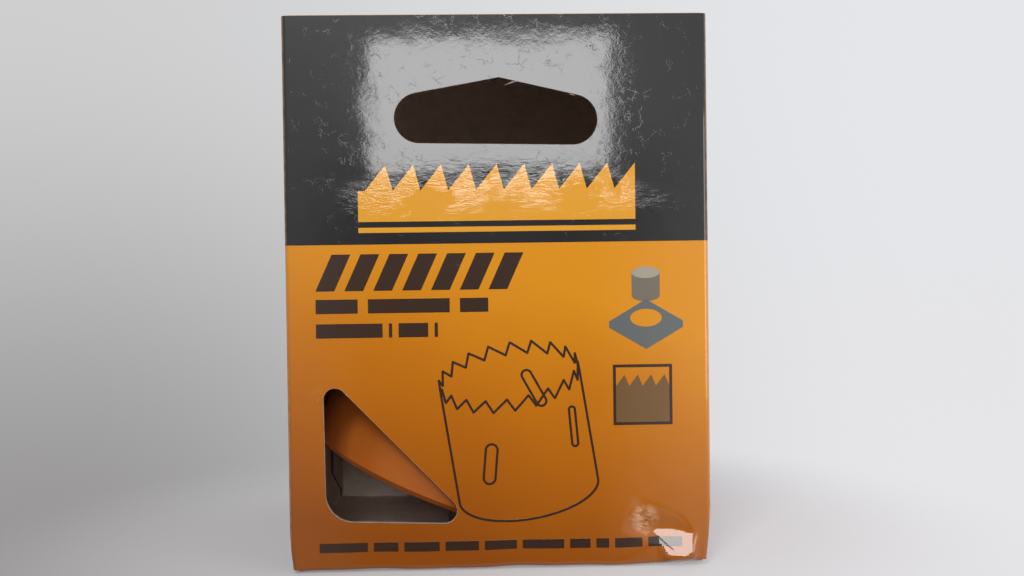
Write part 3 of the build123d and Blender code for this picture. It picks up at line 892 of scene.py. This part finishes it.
def floor():
    """A pale table that fades out into the backdrop away from the carton.

    It looks pale, but it throws back little light, as a table further off would, and gloss
    doesn't see it.
    """
    material, tree, place = new_material("pale_table")
    seen, glossy = add(tree, "LightPath", out=("Is Camera Ray", "Is Glossy Ray"))
    distance = add(tree, "VectorMath", {0: place}, "Value", operation="LENGTH")
    fade = add(
        tree, "MapRange",
        {"Value": distance, "From Min": 45.0, "From Max": 100.0, "To Min": 0.45},
        interpolation_type="SMOOTHSTEP",
    )
    fade = add(tree, "Math", {0: fade, 1: glossy}, operation="MAXIMUM")
    tone = add(
        tree, "Mix", {0: seen, 6: colour("#7c7a78"), 7: colour("#e2e1e2")}, 2, data_type="RGBA"
    )
    solid = add(tree, "BsdfDiffuse", {"Color": tone})
    clear = add(tree, "BsdfTransparent")
    mixed = add(tree, "MixShader", {0: fade, 1: solid, 2: clear})
    add(tree, "OutputMaterial", {"Surface": mixed}, ())
    data = bpy.data.meshes.new("table")
    signs = ((-1, -1), (1, -1), (1, 1), (-1, 1))
    corners = [(x * TABLE_REACH, y * TABLE_REACH, TABLE_TOP) for x, y in signs]
    data.from_pydata(corners, [], [(0, 1, 2, 3)])
    data.materials.append(material)
    made = bpy.data.objects.new("table", data)
    bpy.context.scene.collection.objects.link(made)


def lamp(name, place, target, width, height, power, tint="#ffffff"):
    """A rectangular soft box at a place, turned to a target: metres, and watts of power."""
    data = bpy.data.lights.new(name, "AREA")
    data.shape = "RECTANGLE"
    data.size = width
    data.size_y = height
    data.energy = power
    data.color = colour(tint)[:3]
    made = bpy.data.objects.new(name, data)
    made.location = place
    made.rotation_euler = (Vector(target) - Vector(place)).to_track_quat("-Z", "Y").to_euler()
    bpy.context.scene.collection.objects.link(made)


def world():
    """Soft room light, brighter from the upper right, and a pale backdrop.

    What gloss mirrors is that backdrop, but for a dark card that stands before the carton
    and keeps the film over the print dark.
    """
    made = bpy.data.worlds.new("studio")
    bpy.context.scene.world = made
    made.use_nodes = True
    tree = made.node_tree
    tree.nodes.clear()
    look = add(tree, "TexCoord", out="Generated")
    x, y, z = add(tree, "SeparateXYZ", {0: look}, ("X", "Y", "Z"))
    seen, through, glossy = add(
        tree, "LightPath", out=("Is Camera Ray", "Is Transmission Ray", "Is Glossy Ray")
    )
    to_right = add(
        tree, "MapRange", {"Value": x, "From Min": -0.40, "From Max": 0.40},
        interpolation_type="SMOOTHSTEP",
    )
    upward = add(
        tree, "MapRange", {"Value": z, "From Min": -0.26, "From Max": 0.26},
        interpolation_type="SMOOTHSTEP",
    )
    lower = add(
        tree, "Mix", {0: to_right, 6: colour("#989696"), 7: colour("#e6e5e8")}, 2, data_type="RGBA"
    )
    upper = add(
        tree, "Mix", {0: to_right, 6: colour("#cfcfd0"), 7: colour("#e4e6e9")}, 2, data_type="RGBA"
    )
    tone = add(tree, "Mix", {0: upward, 6: lower, 7: upper}, 2, data_type="RGBA")
    backdrop = add(tree, "Background", {"Color": tone, "Strength": 1.0})
    # The dark card, by where a look passes it: how far beside and above for each unit ahead.
    ahead = add(tree, "Math", {0: y, 1: -1.0}, operation="MULTIPLY")
    ahead = add(tree, "Math", {0: ahead, 1: 0.01}, operation="MAXIMUM")
    beside = add(tree, "Math", {0: x, 1: ahead}, operation="DIVIDE")
    beside = add(tree, "Math", {0: beside}, operation="ABSOLUTE")
    beside = add(
        tree, "MapRange", {"Value": beside, "From Min": 0.22, "From Max": 0.09},
        interpolation_type="SMOOTHSTEP",
    )
    above = add(tree, "Math", {0: z, 1: ahead}, operation="DIVIDE")
    above = add(
        tree, "MapRange", {"Value": above, "From Min": 0.20, "From Max": 0.04},
        interpolation_type="SMOOTHSTEP",
    )
    card = add(tree, "Math", {0: beside, 1: above}, operation="MULTIPLY")
    # It doesn't reach down to what lies low before the carton.
    down = add(tree, "MapRange", {"Value": z, "From Min": -0.42, "From Max": -0.32})
    card = add(tree, "Math", {0: card, 1: down}, operation="MULTIPLY")
    mirrored = add(tree, "Mix", {0: card, 6: tone, 7: colour("#2a2420")}, 2, data_type="RGBA")
    mirrored = add(tree, "Background", {"Color": mirrored, "Strength": 1.0})
    sky = add(tree, "Math", {0: x, 1: z}, operation="ADD")
    sky = add(
        tree, "MapRange", {"Value": sky, "From Min": -1.0, "From Max": 1.2},
        interpolation_type="SMOOTHSTEP",
    )
    room = add(
        tree, "Mix", {0: sky, 6: colour("#8b8682"), 7: colour("#dfe3ea")}, 2, data_type="RGBA"
    )
    room = add(tree, "Background", {"Color": room, "Strength": 0.75})
    mixed = add(tree, "MixShader", {0: glossy, 1: room, 2: mirrored})
    direct = add(tree, "Math", {0: seen, 1: through}, operation="MAXIMUM")
    mixed = add(tree, "MixShader", {0: direct, 1: mixed, 2: backdrop})
    add(tree, "OutputWorld", {"Surface": mixed}, ())


def camera():
    """Stands before the printed front, a little above its middle."""
    data = bpy.data.cameras.new("camera")
    data.sensor_width = SENSOR
    data.lens = FOCAL_PIXELS * SENSOR / IMAGE_WIDTH
    data.clip_start = 0.01
    made = bpy.data.objects.new("camera", data)
    place = Matrix.Translation(CAMERA_PLACE)
    # The last quarter turn takes the camera from looking down to looking along Y.
    for angle, axis in ((CAMERA_YAW, "Z"), (CAMERA_PITCH, "X"), (CAMERA_ROLL, "Y"), (90.0, "X")):
        place = place @ Matrix.Rotation(radians(angle), 4, axis)
    made.matrix_world = place
    bpy.context.scene.collection.objects.link(made)
    bpy.context.scene.camera = made


floor()
world()
lamp(
    "ceiling_light", place=(0.004, -0.62, 0.170), target=(0, FRONT, 0.072),
    width=0.178, height=0.096, power=0.52,
)
lamp(
    "high_left_light", place=(-0.08, -0.30, 0.235), target=(0, FRONT, 0.04),
    width=0.10, height=0.10, power=0.54,
)
lamp(
    "right_fill", place=(0.17, -0.17, 0.05), target=(0.02, FRONT, 0.02),
    width=0.12, height=0.10, power=0.15, tint="#fff6ec",
)
camera()

bpy.context.scene.view_settings.view_transform = "Standard"
